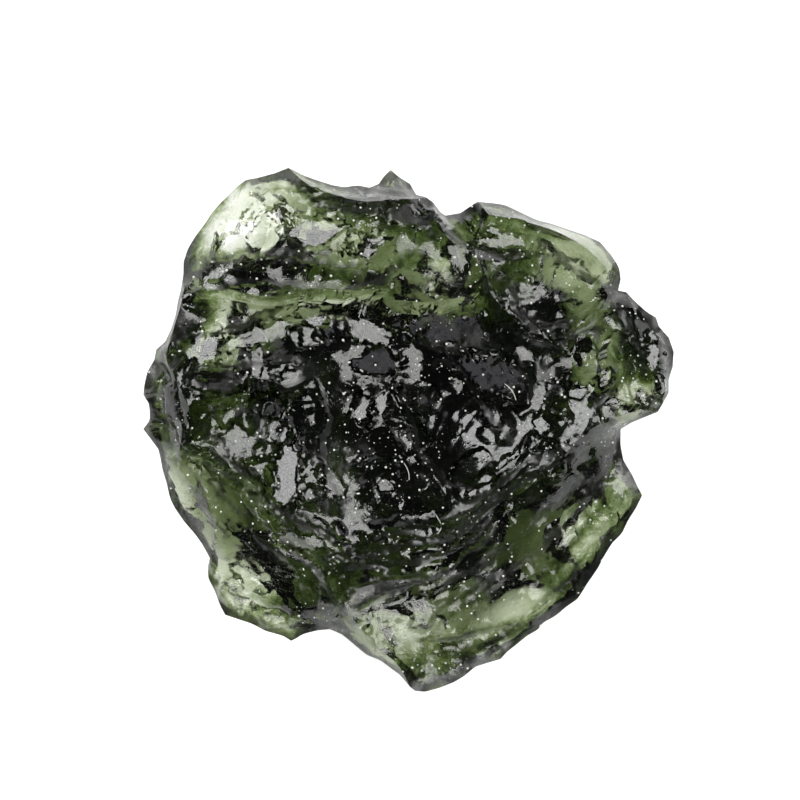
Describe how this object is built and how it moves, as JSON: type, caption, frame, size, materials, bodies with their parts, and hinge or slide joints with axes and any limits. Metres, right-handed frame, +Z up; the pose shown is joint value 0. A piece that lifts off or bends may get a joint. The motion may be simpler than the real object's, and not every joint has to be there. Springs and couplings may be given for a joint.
{
  "type": "moldavite",
  "caption": "Raw piece of clear green natural glass with a broken conchoidal dish on top and an etched, pitted underside, lying on a small flat.",
  "frame": {"origin": "in the resting flat on the underside, below the middle of the stone", "axes": "+Z up through the thinnest way of the stone, out of the broken dish; +Y towards the high brow, +X towards the thin ear"},
  "size_m": [0.0264, 0.0261, 0.0102],
  "materials": {
    "moldavite_glass": "fire-bright broken glass, bottle green, clear in thin edges and nearly black where it is thick, etched satin on the underside"
  },
  "bodies": {
    "root": {"moldavite": "moldavite_glass"}
  },
  "joints": []
}
